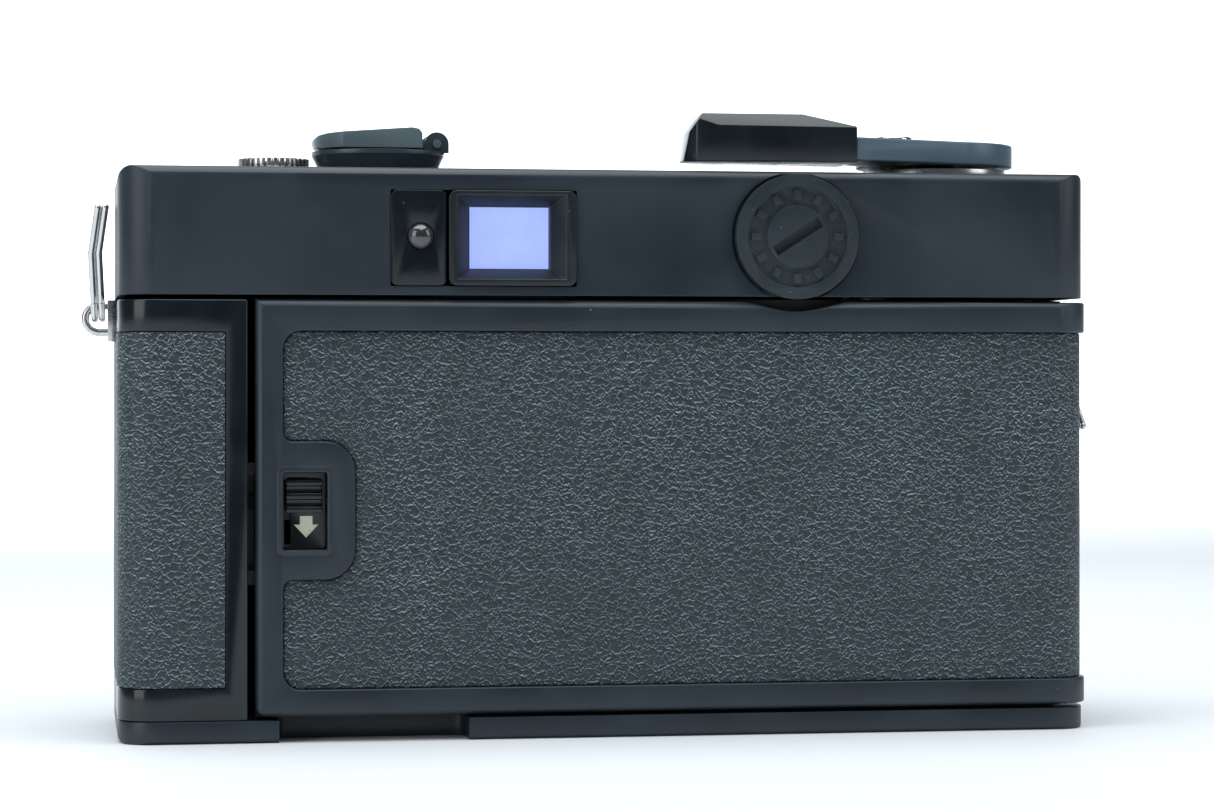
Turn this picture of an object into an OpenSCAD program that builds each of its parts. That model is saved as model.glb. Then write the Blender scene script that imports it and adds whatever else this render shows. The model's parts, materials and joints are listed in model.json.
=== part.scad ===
// Compact 35 mm rangefinder camera, built as an assembly of its real pieces.
// Millimetres. +Z is up, the lens looks along -Y and the film door faces +Y.
// The origin is the mouth of the tripod socket, on the plane the camera stands on.
// The grip end is +X and the hinge end is -X.

/* [Body] */
// Distance from the lens axis to the grip end
grip_side = 64.5; // [63.5:0.5:65.5]
// Distance from the lens axis to the hinge end
hinge_side = 46.5; // [46:0.25:47]
// Depth of the body without the lens
body_d = 33; // [33:0.25:34]
// Height from the base to the top of the cover
body_h = 64; // [64:0.25:65]
// Height of the seam between the body and the top cover
seam_z = 49.7; // [49.5:0.1:49.8]
// Radius of the four upright corners
corner_r = 4.5; // [4:0.25:5]
// Thickness of the base plate
base_t = 2.5; // [2.3:0.1:2.6]

/* [Lens] */
// Height of the lens axis
lens_z = 26.5; // [26:0.25:27]
// Outer radius of the focusing ring
focus_r = 25; // [24.5:0.25:25.5]
// Radius of the wall of the filter thread
filter_r = 23; // [22.8:0.1:23.2]
// How far the lens stands out of the body
lens_len = 25; // [25:0.5:26]

/* [Winding] */
// Radius of the winding lever's disc
lever_r = 9.3; // [9:0.1:9.5]
// Radius of the rewind knob
knob_r = 7.7; // [7.5:0.1:7.9]
// Module of the winding gears
gear_m = 0.5; // [0.5:0.05:0.5]

/* [Hidden] */
$fn = 64;
eps = 0.01;
half_d = body_d / 2;
wall = 1.1;
rim_round = 1.0;             // radius of the rim's outer edges
rim_proud = 0.35;          // the door's rim stands this far outside the body
leather_t = 0.7;
gap_x = 49.45;             // free edge of the film door
frame_x = 50.3;            // inner edge of the grip frame
film_y = 9.2;              // film plane
door_z = [2.95, 49.2];
skin_z = [6.2, 45.55];     // height band that carries the leatherette
hinge_at = [-hinge_side + 0.9, 5];
hinge_r = 1.5;
hinge_gap = 0.25;
// axes that run up through the body
rewind_at = [34.3, -0.8];
check_at = [46.4, -0.8];
lever_at = [-32.2, 0];
sprocket_at = [-23.4, 5.2];
release_at = [-30.3, -12];
counter_at = [-14.3, -10.2];
// winding gears: teeth of the lever gear, idler pinion, idler wheel, spool wheel and sprocket wheel
lever_teeth = 30;
pinion_teeth = 12;
idler_teeth = 22;
spool_teeth = 20;
sprocket_teeth = 16;
arm_a = gear_m * (lever_teeth + pinion_teeth) / 2;
arm_b = gear_m * (idler_teeth + sprocket_teeth) / 2;
idler_at = meet(lever_at, arm_a, sprocket_at, arm_b);
gear_low_z = 50.9;
gear_high_z = 53.4;
gear_t = 1.2;
// battery chamber
battery_at = [-11.7, 56.5]; // x and z of its axis
cap_r = 7.1;
cell_r = 5.8;
cell_t = 4.25;
tube_r = 6.4;
tube_in_r = 6.0;
tube_end_y = -3.9;
// finder, as x ranges and z ranges on the rear wall
eyepiece_x = [13.5, 28.0];
eyepiece_z = [50.75, 61.5];
lamp_x = [28.25, 34.45];
lamp_z = [50.7, 61.65];
lamp_at = [31.1, 56.3];
window_y = -half_d;
bezel_x = [-13, 31.5];
bezel_z = [52.2, 61.8];
finder_x = [14.2, 27.3];
bright_x = [1.2, 11.2];
range_x = [-9.6, -3.2];
// latch on the door
latch_x = [41.5, 46.5];
latch_z = [21.4, 30.05];
land = 3.4;
skin_edge_x = 46.4;
skin_pocket = [[38.4, 18.05], [skin_edge_x + 6, 33.45]];
scallop_half = 7.2;
scallop_deep = 1.15;
lug_y = -3.7;
ring_pivot_z = 47.3;
wire_r = 0.4;
ring_len = 12.7;
ring_bend = 11;
timer_at = [41, 39];

// ---------- helpers ----------

// the point at distance ra from a and rb from b, on the side towards the lens
function meet(a, ra, b, rb) =
  let (d = norm(b - a), along = (ra * ra - rb * rb + d * d) / (2 * d), off = sqrt(ra * ra - along * along),
       u = (b - a) / d)
  a + along * u + off * [u[1], -u[0]];

// a rectangle between two corners with round corners, made of true arcs
module round_rect(low, high, r) {
  size = high - low;
  translate(low + [r, 0]) square([size[0] - 2 * r, size[1]]);
  translate(low + [0, r]) square([size[0], size[1] - 2 * r]);
  for (x = [low[0] + r, high[0] - r], y = [low[1] + r, high[1] - r])
    translate([x, y]) circle(r);
}

// the body's outline seen from above, moved inwards by inset
module plan(inset = 0) {
  round_rect([-hinge_side + inset, -half_d + inset], [grip_side - inset, half_d - inset], corner_r - inset);
}

// a wall that follows the outline, between two insets and two heights
module plan_wall(outer, inner, z) {
  translate([0, 0, z[0]]) linear_extrude(z[1] - z[0]) difference() {
    plan(outer);
    plan(inner);
  }
}

// stands a drawing up so that it faces the lens side, from depth y0 to y1
module upright(y0, y1) {
  translate([0, y1, 0]) rotate([90, 0, 0]) linear_extrude(y1 - y0) children();
}

// a box between two corners
module block(low, high) {
  translate(low) cube(high - low);
}

// a cylinder along Y between two depths
module rod_y(at, r, y0, y1) {
  translate([at[0], y1, at[1]]) rotate([90, 0, 0]) cylinder(h = y1 - y0, r = r);
}

// a ring along Y between two depths
module ring_y(at, r_out, r_in, y0, y1) {
  difference() {
    rod_y(at, r_out, y0, y1);
    rod_y(at, r_in, y0 - 1, y1 + 1);
  }
}

// a ring that stands up, between two heights
module ring_z(at, r_out, r_in, z0, z1) {
  translate([at[0], at[1], z0]) difference() {
    cylinder(h = z1 - z0, r = r_out);
    translate([0, 0, -1]) cylinder(h = z1 - z0 + 2, r = r_in);
  }
}

// an upright pin
module rod_z(at, r, z0, z1) {
  translate([at[0], at[1], z0]) cylinder(h = z1 - z0, r = r);
}

// a gear with straight-flanked teeth, turned so that its first tooth or gap points along angle
module gear_outline(teeth, angle, gap = false) {
  r = gear_m * teeth / 2;
  pitch = 360 / teeth;
  rotate(angle + (gap ? pitch / 2 : 0)) union() {
    circle(r - 1.1 * gear_m);
    for (i = [0 : teeth - 1]) rotate(i * pitch)
      polygon([[r - 1.3 * gear_m, -0.84 * gear_m], [r, -0.58 * gear_m], [r + 0.8 * gear_m, -0.26 * gear_m],
               [r + 0.8 * gear_m, 0.26 * gear_m], [r, 0.58 * gear_m], [r - 1.3 * gear_m, 0.84 * gear_m]]);
  }
}

function bearing(from, to) = atan2(to[1] - from[1], to[0] - from[0]);

// a ring of grip ribs along Y
module knurl_y(at, r, count, depth, width, y0, y1) {
  for (i = [0 : count - 1])
    translate([at[0], y1, at[1]]) rotate([90, 0, 0]) rotate(i * 360 / count)
      translate([r - depth, -width / 2, 0]) cube([2 * depth, width, y1 - y0]);
}

// ---------- body ----------

// the outline of the leatherette on the door, seen from the front: x runs to the grip end
module skin_outline(grow = 0) {
  r = 2;
  inner = 1.0;
  x0 = skin_edge_x - 3 * land;
  x1 = skin_edge_x + grow;
  z = [skin_z[0] - 0.3 - grow, skin_pocket[0][1] + grow, skin_pocket[1][1] - grow, skin_z[1] + 0.15 + grow];
  difference() {
    translate([-hinge_side - 10, z[0]]) square([skin_pocket[0][0] + land + hinge_side + 10, z[3] - z[0]]);
    round_rect(skin_pocket[0] + [grow, grow], skin_pocket[1] + [10, 0] - [grow, grow], land);
  }
  // arms above and below the latch
  intersection() {
    round_rect([x0, z[2] - 10], [x1, z[3]], r);
    round_rect([x0, z[2]], [x1, z[3] + 10], inner);
    translate([skin_pocket[0][0] + land - 0.5, z[2]]) square([20, 40]);
  }
  intersection() {
    round_rect([x0, z[0]], [x1, z[1] + 10], r);
    round_rect([x0, z[0] - 10], [x1, z[1]], inner);
    translate([skin_pocket[0][0] + land - 0.5, z[0]]) square([20, 40]);
  }
}

module chassis() {
  color("#202225") difference() {
    union() {
      translate([0, 0, base_t + 0.1]) linear_extrude(seam_z - base_t - 0.4) intersection() {
        plan(1.9);
        translate([-43.7, -30]) square([frame_x - 1 + 43.7, 60]);
        translate([-60, -30]) square([120, 30 + 13.6]);
      }
    }
    // film chambers
    rod_z(rewind_at, 13.3, 4.6, 47.9);
    block([rewind_at[0] - 13.3, rewind_at[1], 4.6], [rewind_at[0] + 13.3, half_d, 47.9]);
    rod_z(lever_at, 10.2, 4.6, 47.9);
    block([lever_at[0] - 10.2, lever_at[1], 4.6], [-22, half_d, 47.9]);
    rod_z(sprocket_at, 5.5, 4.6, 47.9);
    // film channel, with room for the gate
    block([-44, film_y - 1.5, 6.8], [48, half_d, 45.2]);
    // light path and lens opening
    block([-17, -half_d, 15.2], [17, half_d, 37.8]);
    rod_y([0, lens_z], 19, -half_d, -9.5);
    // shafts through the roof and the floor
    rod_z(rewind_at, 3.1, 40, 60);
    rod_z(lever_at, 2.55, 40, 60);
    rod_z(sprocket_at, 2.05, 40, 60);
    rod_z(idler_at, 1.0, 48.2, 60);
    rod_z(lever_at, 2.05, 0, 10);
    rod_z(sprocket_at, 2.05, 0, 10);
    rod_z([0, 0], 5.6, 0, 6.2);
    // way in for the latch's hook
    block([47, 12.0, 20.3], [50, 20, 31]);
  }
  color("#202225") ring_z(counter_at, 1.8, 0.95, seam_z - 0.32, 52.6);
}

// cuts a body wall where the lens comes through
module lens_opening(r) {
  rod_y([0, lens_z], r, -half_d - 5, -half_d + 8);
}

module front_region() {
  block([-60, -40, 0], [0, 3.0, 80]);
  block([-1, -40, 0], [frame_x, -3, 80]);
  block([frame_x - 1, -40, 0], [80, -3.05, 80]);
}

module front_shell() {
  color("#1b1e22") difference() {
    intersection() {
      plan_wall(0, 1.85, [base_t + 0.05, seam_z - 0.05]);
      front_region();
    }
    plan_wall(-1, leather_t + 0.05, skin_z);
    lens_opening(21.2);
    rod_y(timer_at, 1.75, -half_d - 5, -half_d + 8);
    translate([-hinge_side - 1, -8, 14]) rotate([0, 90, 0]) cylinder(h = 8, r = 2.05);
  }
}

// seats of the strap lugs in the leather
module lug_seats() {
  seat = [[grip_side - 0.02, lug_y - 4.25, 44.65], [grip_side + 2, lug_y + 4.25, 50]];
  block(seat[0], seat[1]);
  translate([grip_side - hinge_side, 0, 0]) mirror([1, 0, 0]) block(seat[0], seat[1]);
}

module front_leather() {
  color("#17191c") difference() {
    intersection() {
      plan_wall(-0.05, leather_t, skin_z + [0.05, -0.05]);
      front_region();
    }
    lens_opening(24.05);
    lug_seats();
    rod_y(timer_at, 4.0, -half_d - 5, -half_d + 8);
    translate([-hinge_side - 1, -8, 14]) rotate([0, 90, 0]) cylinder(h = 8, r = 3.05);
  }
}

module top_cover() {
  round_top = 1.4;
  color("#1d2126") difference() {
    intersection() {
      translate([0, 0, seam_z]) linear_extrude(body_h - seam_z) plan(0);
      upright(-half_d - 1, half_d + 1)
        round_rect([-hinge_side, seam_z - 9], [grip_side, body_h], round_top);
      translate([-hinge_side - 1, 0, 0]) rotate([90, 0, 90]) linear_extrude(grip_side + hinge_side + 2)
        round_rect([-half_d, seam_z - 9], [half_d, body_h], round_top);
    }
    translate([0, 0, seam_z - 1]) linear_extrude(body_h - 1 - seam_z + 1) plan(wall);
    // rear wall
    block([eyepiece_x[0], 12, eyepiece_z[0]], [lamp_x[1], 20, eyepiece_z[1]]);
    rod_y(battery_at, cap_r + 0.25, half_d - 0.6, half_d + 2);
    rod_y(battery_at, tube_r + 0.02, half_d - 3, half_d + 2);
    // front wall
    block([bezel_x[0], -20, bezel_z[0]], [bezel_x[1], -12, bezel_z[1]]);
    // roof
    rod_z(rewind_at, 3.05, 60, 70);
    rod_z(check_at, 3.55, 60, 70);
    rod_z(lever_at, 2.6, 60, 70);
    rod_z(release_at, 2.7, 60, 70);
    rod_z(counter_at, 3.6, 60, 70);
  }
}

module base_outline() {
  difference() {
    round_rect([-hinge_side, -half_d], [grip_side, half_d], corner_r);
    // finger notch behind the film chamber
    round_rect([25.6, half_d - 5.5], [46.8, half_d + 6], 1.5);
  }
}

screw_spots = [[58, -9], [58, 9], [-40, -10], [-40, 9], [12, -11]];

module base_plate() {
  chamfer = 0.9;
  color("#1a1d20") difference() {
    intersection() {
      linear_extrude(base_t) base_outline();
      upright(-half_d - 1, half_d + 1)
        round_rect([-hinge_side, 0], [grip_side, 20], chamfer);
      translate([-hinge_side - 1, 0, 0]) rotate([90, 0, 90]) linear_extrude(grip_side + hinge_side + 2)
        round_rect([-half_d, 0], [half_d, 20], chamfer);
    }
    rod_z([0, 0], 5.5, -1, 10);
    for (s = screw_spots) {
      rod_z(s, 0.85, -1, 10);
      translate([s[0], s[1], -eps]) cylinder(h = 1.0, r = 1.75);
    }
  }
}

module base_screws() {
  color("silver") for (s = screw_spots) translate([s[0], s[1], 0]) difference() {
    union() {
      translate([0, 0, 0.15]) cylinder(h = 0.8, r = 1.7);
      translate([0, 0, 0.9]) cylinder(h = base_t - 0.9, r = 0.8);
    }
    translate([-2, -0.22, -1]) cube([4, 0.44, 1.55]);
    translate([-0.22, -2, -1]) cube([0.44, 4, 1.55]);
  }
}

// tapped bush for the tripod screw: its plain wall is at the outer radius of the thread
module tripod_socket() {
  color("silver") difference() {
    rod_z([0, 0], 5.45, 0, 6.1);
    rod_z([0, 0], 3.2, -1, 5.1);
  }
}

module grip_region() {
  block([frame_x, -3, 0], [80, 40, 80]);
}

module grip_frame() {
  skin_x = 52.75;
  color("#0c0d0f") difference() {
    intersection() {
      union() {
        plan_wall(0, 1.85, [base_t + 0.05, seam_z - 0.5]);
        block([frame_x, 8, base_t + 0.05], [frame_x + 1.3, half_d - 1, seam_z - 0.5]);
      }
      grip_region();
    }
    intersection() {
      plan_wall(-1, leather_t + 0.05, skin_z);
      block([skin_x, -30, 0], [80, 40, 80]);
    }
    // way in for the latch's tongue
    block([frame_x - 1, 11.6, latch_z[0] - 2.2], [frame_x + 2, 14.2, latch_z[1] - 0.6]);
  }
}

module grip_leather() {
  color("#17191c") difference() {
    intersection() {
      plan_wall(-0.05, leather_t, skin_z + [0.05, -0.05]);
      block([52.8, -2.95, 0], [80, 40, 80]);
    }
    lug_seats();
  }
}

// rails that hold the film flat around the picture opening
module film_gate() {
  color("#2a2c2f") difference() {
    union() {
      block([-18.8, film_y - 1.45, 7.2], [20.2, film_y - 0.4, 44.8]);
      for (z = [10.2, 41.0])
        block([-18.8, film_y - 0.5, z], [20.2, film_y, z + 1.6]);
    }
    block([-18, 0, 14.5], [18, 20, 38.5]);
  }
}

module hinge_pin() {
  color("silver") union() {
    rod_z(hinge_at, 0.6, door_z[0] + 0.6, door_z[1] - 0.4);
    for (z = [8.3, 24.0, 39.7]) difference() {
      union() {
        rod_z(hinge_at, hinge_r, z, z + 5);
        block([hinge_at[0], hinge_at[1] - 1.5, z], [-43.75, hinge_at[1] + 0.2, z + 5]);
      }
    }
  }
}

// strike plate that the latch's tongue goes into
module door_catch() {
  color("silver") difference() {
    block([frame_x - 0.95, 3, latch_z[0] - 4], [frame_x - 0.05, 13.5, latch_z[1] + 1]);
    block([frame_x - 3, 11.4, latch_z[0] - 2.4], [frame_x + 3, 20, latch_z[1] - 0.4]);
  }
}

// ---------- finder ----------

module eyepiece_frame() {
  open_x = [16.3, 25.4];
  open_z = [52.7, 59.75];
  mid = [(open_x[0] + open_x[1]) / 2, (open_z[0] + open_z[1]) / 2];
  color("#08090a") difference() {
    upright(12.6, half_d + 0.45)
      round_rect([eyepiece_x[0] + 0.05, eyepiece_z[0] + 0.05], [eyepiece_x[1] - 0.05, eyepiece_z[1] - 0.05], 0.9);
    block([open_x[0], 10, open_z[0]], [open_x[1], 20, open_z[1]]);
    // the funnel
    translate([mid[0], half_d + 0.5, mid[1]]) rotate([90, 0, 0])
      linear_extrude(2.4, scale = 0.75) square([12.4, 9.5], center = true);
  }
}

module eyepiece_lens() {
  color("#b6bdf0") block([16.35, 12.7, 52.75], [25.35, 13.9, 59.7]);
}

module lamp_plate() {
  color("#0a0b0c") difference() {
    upright(14.0, half_d + 0.15)
      round_rect([lamp_x[0], lamp_z[0] + 0.1], [lamp_x[1] - 0.05, lamp_z[1] - 0.2], 0.7);
    rod_y(lamp_at, 1.5, 10, 20);
  }
}

module lamp_lens() {
  color("#2c2f33") intersection() {
    rod_y(lamp_at, 1.45, 14.2, half_d + 2);
    translate([lamp_at[0], half_d - 0.65, lamp_at[1]]) sphere(1.6);
    block([0, 14.2, 50], [60, 20, 60]);
  }
}

module window_bezel() {
  color("#0b0c0e") difference() {
    upright(-half_d - 0.3, -half_d + 1.6)
      round_rect([bezel_x[0] + 0.05, bezel_z[0] + 0.05], [bezel_x[1] - 0.05, bezel_z[1] - 0.05], 1.0);
    for (w = [finder_x, bright_x, range_x])
      block([w[0], -30, w == range_x ? 54.6 : 53.4], [w[1], -10, w == range_x ? 59.4 : 60.7]);
  }
}

module front_windows() {
  color("#9fb0c4") for (w = [finder_x, bright_x, range_x])
    block([w[0] + 0.05, -half_d + 0.2, w == range_x ? 54.65 : 53.45],
          [w[1] - 0.05, -half_d + 1.3, w == range_x ? 59.35 : 60.65]);
}

module finder_tunnel() {
  color("#15171a") difference() {
    block([13.6, -13.6, 49.45], [28.6, 12.4, 62.2]);
    block([14.6, -20, 51.6], [27.6, 20, 61.2]);
    block([10, -6, 52.4], [15, 6, 60.4]);
  }
}

module beam_splitter() {
  color("#b8c4d8") difference() {
    block([15.6, -5.5, 51.7], [26.6, 5.5, 61.0]);
    // the slanted seam between the two cemented prisms
    translate([21.1, 0, 50]) rotate([0, 0, 45]) block([-7.2, -0.02, 0], [7.2, 0.02, 20]);
  }
}

// the turning prism of the rangefinder, with its arm
module range_prism() {
  color("#9aa8bd") union() {
    translate([-6.4, -13.7, 54.4]) linear_extrude(5) polygon([[-3, 0], [3, 0], [3, 4.4]]);
    block([-3.4, -11.2, 53.6], [1.6, -9.2, 54.4]);
    rod_z([0.6, -10.2], 1.2, 49.6, 54.4);
  }
}

// ---------- power ----------

module battery_tube() {
  color("#2b2d30") difference() {
    rod_y(battery_at, tube_r, tube_end_y, half_d - 0.62);
    rod_y(battery_at, tube_in_r, tube_end_y + 0.8, half_d + 1);
  }
}

module battery_cells() {
  color("silver") for (i = [0 : 3]) {
    y = tube_end_y + 1.0 + i * cell_t;
    rod_y(battery_at, cell_r, y + 0.5, y + cell_t - 0.05);
    rod_y(battery_at, cell_r - 1, y, y + 0.5);
  }
}

module battery_gasket() {
  color("#111111") ring_y(battery_at, cap_r - 0.2, tube_r - 0.1, half_d - 0.58, half_d - 0.1);
}

module battery_cap() {
  face = half_d + 1.1;
  color("#23282a") difference() {
    union() {
      rod_y(battery_at, cap_r, half_d - 0.02, face);
      rod_y(battery_at, tube_in_r - 0.05, half_d - 2.2, half_d);
      knurl_y(battery_at, 4.85, 12, 0.85, 0.75, face - 0.5, face + 0.0);
    }
    ring_y(battery_at, 5.75, 3.55, face - 0.4, face + 1);
    translate([battery_at[0], face, battery_at[1]]) rotate([0, 33, 0])
      block([-3.1, -0.9, -0.6], [3.1, 1, 0.6]);
  }
  color("#23282a") intersection() {
    knurl_y(battery_at, 4.75, 12, 0.55, 0.8, face - 0.42, face - 0.05);
    ring_y(battery_at, 5.7, 3.7, face - 1, face + 1);
  }
}

module circuit_board() {
  color("#2f5a3a") union() {
    block([54, 2, 8], [55.2, 12, 44]);
    for (z = [11, 17, 23, 29, 35])
      block([55.2, 4, z], [57.2, 9, z + 3.2]);
    rod_z([58.4, -1], 1.2, 40, 40.5);
  }
}

// ---------- ends ----------

// the strap eye on one end of the body, drawn for the grip end
module strap_lug() {
  at = grip_side + 1.9;
  block([grip_side, lug_y - 4.2, 44.7], [grip_side + 0.9, lug_y + 4.2, 49.4]);
  translate([at, lug_y, ring_pivot_z]) rotate([90, 0, 0]) intersection() {
    rotate_extrude() translate([1.55, 0]) circle(0.45);
    translate([0, -5, -5]) cube([10, 10, 10]);
  }
  for (z = [ring_pivot_z - 1.55, ring_pivot_z + 1.55])
    translate([grip_side + 0.5, lug_y, z]) rotate([0, 90, 0]) cylinder(h = 1.4, r = 0.45);
}

module strap_lugs() {
  color("silver") union() {
    strap_lug();
    translate([grip_side - hinge_side, 0, 0]) mirror([1, 0, 0]) strap_lug();
  }
}

// a wire between two points, with round ends a hair fatter than the wire
module wire(a, b) {
  d = b - a;
  translate(a) rotate([0, acos(d[2] / norm(d)), atan2(d[1], d[0])]) cylinder(h = norm(d), r = wire_r);
  for (end = [a, b]) translate(end) sphere(wire_r + 0.03, $fn = 32);
}

// one turn of a strap ring that stands on its pivot: narrow in the lug, bent inwards and wide above
module ring_turn(x) {
  eye_r = 1.7;
  bar = 5.2;
  knee = 7.6;
  rise = (ring_len - knee) * cos(ring_bend);
  lean = (ring_len - knee) * sin(ring_bend);
  translate([x, 0, eye_r]) rotate([0, 90, 0]) intersection() {
    rotate_extrude() translate([eye_r, 0]) circle(wire_r);
    translate([0, -5, -5]) cube([10, 10, 10]);
  }
  for (side = [-1, 1]) {
    wire([x, side * eye_r, eye_r], [x, side * 2.9, knee]);
    wire([x, side * 2.9, knee], [x - lean, side * bar, knee + rise]);
  }
  wire([x - lean, -bar, knee + rise], [x - lean, bar, knee + rise]);
}

module strap_ring() {
  for (x = [-0.42, 0.42]) ring_turn(x);
}

module strap_ring_left() {
  color("silver") translate([grip_side + 1.95, lug_y, ring_pivot_z]) rotate([0, 3, 0]) strap_ring();
}

module strap_ring_right() {
  color("silver") translate([-hinge_side - 1.95, lug_y, ring_pivot_z]) mirror([1, 0, 0])
    rotate([0, 178, 0]) strap_ring();
}

module sync_socket() {
  color("silver") translate([-hinge_side - 0.8, -8, 14]) rotate([0, 90, 0]) {
    difference() {
      union() {
        cylinder(h = 3.4, r = 2);
        cylinder(h = 0.75, r = 3);
      }
      translate([0, 0, -1]) cylinder(h = 3.4, r = 1.6);
    }
    translate([0, 0, 0.4]) difference() {
      cylinder(h = 2.4, r = 0.9);
      translate([0, 0, -1]) cylinder(h = 2.4, r = 0.35);
    }
  }
}

// ---------- lens ----------

module lens_barrel() {
  color("#17181a") difference() {
    union() {
      rod_y([0, lens_z], 23.9, -half_d - 2.2, -half_d + 0.0);
      rod_y([0, lens_z], 23.0, -half_d - 5.2, -half_d);
      rod_y([0, lens_z], 21.0, -half_d - 18.3, -half_d + 1.8);
    }
    rod_y([0, lens_z], 20.2, -half_d - 30, -half_d - 3);
    rod_y([0, lens_z], 18.6, -half_d - 10, -half_d + 5);
  }
}

module shutter_case() {
  color("#3a3c40") difference() {
    rod_y([0, lens_z], 18.5, -half_d - 2.6, -half_d + 6.9);
    rod_y([0, lens_z], 9.6, -half_d - 20, -half_d + 20);
    rod_y([0, lens_z], 13.5, -half_d + 0.8, -half_d + 2.6);
  }
}

module shutter_blades() {
  color("#1b1c1e") for (i = [0 : 4])
    translate([0, -half_d + 1.0 + i * 0.3, lens_z]) rotate([0, i * 72, 0]) rotate([90, 0, 0])
      linear_extrude(0.12) intersection() {
        circle(13.2);
        translate([3, 4]) circle(9.5);
      }
}

module aperture_ring() {
  color("#1a1b1d") union() {
    ring_y([0, lens_z], 24.0, 21.06, -half_d - 10.0, -half_d - 5.4);
    difference() {
      knurl_y([0, lens_z], 24.0, 48, 0.35, 1.1, -half_d - 9.6, -half_d - 7.2);
      rod_y([0, lens_z], 23.2, -half_d - 20, -half_d);
    }
  }
}

module focus_ring() {
  color("#1a1b1d") union() {
    ring_y([0, lens_z], focus_r - 0.4, 21.06, -half_d - 18.2, -half_d - 10.3);
    difference() {
      knurl_y([0, lens_z], focus_r - 0.4, 60, 0.4, 1.3, -half_d - 17.4, -half_d - 12.4);
      rod_y([0, lens_z], focus_r - 1.4, -half_d - 30, -half_d);
    }
  }
}

// front cell: glass, dress ring, meter window and filter thread move together
module lens_cell() {
  front = -half_d - lens_len;
  color("#141517") difference() {
    union() {
      rod_y([0, lens_z], 24.0, front, -half_d - 18.5);
      rod_y([0, lens_z], 20.1, -half_d - 20, -half_d - 8.5);
    }
    rod_y([0, lens_z], filter_r, front - 1, front + 4);
    rod_y([0, lens_z], 11.2, front - 10, front + 30);
    rod_y([0, lens_z + 16.6], 2.4, front, front + 4.8);
  }
}

module front_element() {
  front = -half_d - lens_len;
  color("#8fa6b8") intersection() {
    rod_y([0, lens_z], 11.15, front + 4.5, front + 9.8);
    translate([0, front + 26.9, lens_z]) sphere(22);
  }
}

module self_timer_lever() {
  color("#1a1b1d") union() {
    rod_y(timer_at, 3.4, -half_d - 3.0, -half_d - 0.15);
    rod_y(timer_at, 1.7, -half_d - 1, -half_d + 1.8);
    upright(-half_d - 2.8, -half_d - 1.2)
      round_rect([timer_at[0] - 2.2, timer_at[1] - 17], [timer_at[0] + 2.2, timer_at[1]], 2.1);
  }
}

// ---------- film door ----------

module door_region() {
  block([-30, film_y, 0], [gap_x, 40, 80]);
  block([-60, hinge_at[1] + hinge_r + 0.3, 0], [-29, 40, 80]);
}

// the dip in the door's top edge that clears the battery cap
module scallop() {
  steps = 16;
  upright(-40, 40) polygon(concat(
    [for (i = [0 : steps]) let (t = -1 + 2 * i / steps)
      [battery_at[0] + t * scallop_half, door_z[1] - scallop_deep * (1 + cos(180 * t)) / 2]],
    [[battery_at[0] + scallop_half, 60], [battery_at[0] - scallop_half, 60]]));
}

module film_door() {
  color("#1d2126") difference() {
    union() {
      intersection() {
        plan_wall(-rim_proud, 1.5, door_z);
        door_region();
        upright(-40, 40) union() {
          round_rect([-60, door_z[0]], [gap_x, 40], 1.3);
          translate([-60, 30]) square([60 + gap_x, 40]);
        }
        // round outer edges of the rim
        translate([-60, 0, 0]) rotate([90, 0, 90]) linear_extrude(70 + gap_x)
          round_rect([-60, door_z[0]], [half_d + rim_proud, door_z[1]], rim_round);
        linear_extrude(80) round_rect([-80, -30], [gap_x, half_d + rim_proud], rim_round);
      }
      // knuckles on the hinge
      for (z = [14.0, 29.7]) {
        rod_z(hinge_at, hinge_r, z, z + 9.3);
        block([-hinge_side - 0.3, hinge_at[1], z], [-hinge_side + 0.9, hinge_at[1] + 3, z + 9.3]);
      }
    }
    intersection() {
      plan_wall(-1, leather_t + 0.1, [0, 60]);
      upright(-40, 40) skin_outline();
      door_region();
    }
    scallop();
    block([latch_x[0], 0, latch_z[0]], [latch_x[1], 40, latch_z[1]]);
    rod_z(hinge_at, 0.65, 0, 60);
  }
}

module door_leather() {
  color("#17191c") intersection() {
    plan_wall(0.15, leather_t + 0.08, [skin_z[0] - 0.28, skin_z[1] + 0.13]);
    upright(-40, 40) skin_outline(-0.03);
    door_region();
  }
}

module latch_plate() {
  color("#0b0c0e") difference() {
    block([latch_x[0] + 0.05, 14.2, latch_z[0] + 0.05], [latch_x[1] - 0.05, 14.9, latch_z[1] - 0.05]);
    block([45.5, 10, latch_z[0] + 0.5], [46.2, 20, latch_z[1] - 1.0]);
  }
}

module latch_slider() {
  color("#0b0c0e") union() {
    block([42.0, 15.1, 25.5], [46.1, 15.7, 29.2]);
    for (z = [25.5, 27.0, 28.5])
      block([42.0, 15.7, z], [46.1, 16.3, z + 0.7]);
    block([45.6, 13.8, 26.0], [46.1, 15.2, 28.4]);
  }
}

module latch_hook() {
  color("silver") union() {
    block([42.6, 13.1, 24.6], [48.2, 13.8, 28.6]);
    block([48.1, 12.4, 25.6], [49.0, 13.8, 27.6]);
    block([48.9, 12.4, 25.8], [50.15, 13.2, 27.4]);
  }
}

module pressure_plate() {
  color("#3c3f44") union() {
    block([-18.5, film_y + 0.9, 8.2], [24, film_y + 1.9, 43.8]);
  }
}

module pressure_spring() {
  color("silver") union() {
    for (side = [-1, 1]) {
      block([side > 0 ? 8 : -16, film_y + 1.9, 22], [side > 0 ? 16 : -8, film_y + 2.3, 30]);
    }
    block([-16, film_y + 2.3, 23], [16, film_y + 2.8, 29]);
    for (x = [-2, 2])
      rod_y([x * 3, 26], 1.5, film_y + 2.8, half_d - 1.55);
  }
}

// ---------- controls on the top ----------

module top_collars() {
  color("silver") union() {
    ring_z(check_at, 4.75, 4.4, body_h, body_h + 0.75);
    ring_z(lever_at, 8.5, 2.6, body_h, body_h + 1.1);
    ring_z(release_at, 3.4, 2.75, body_h, body_h + 1.1);
  }
}

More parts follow.
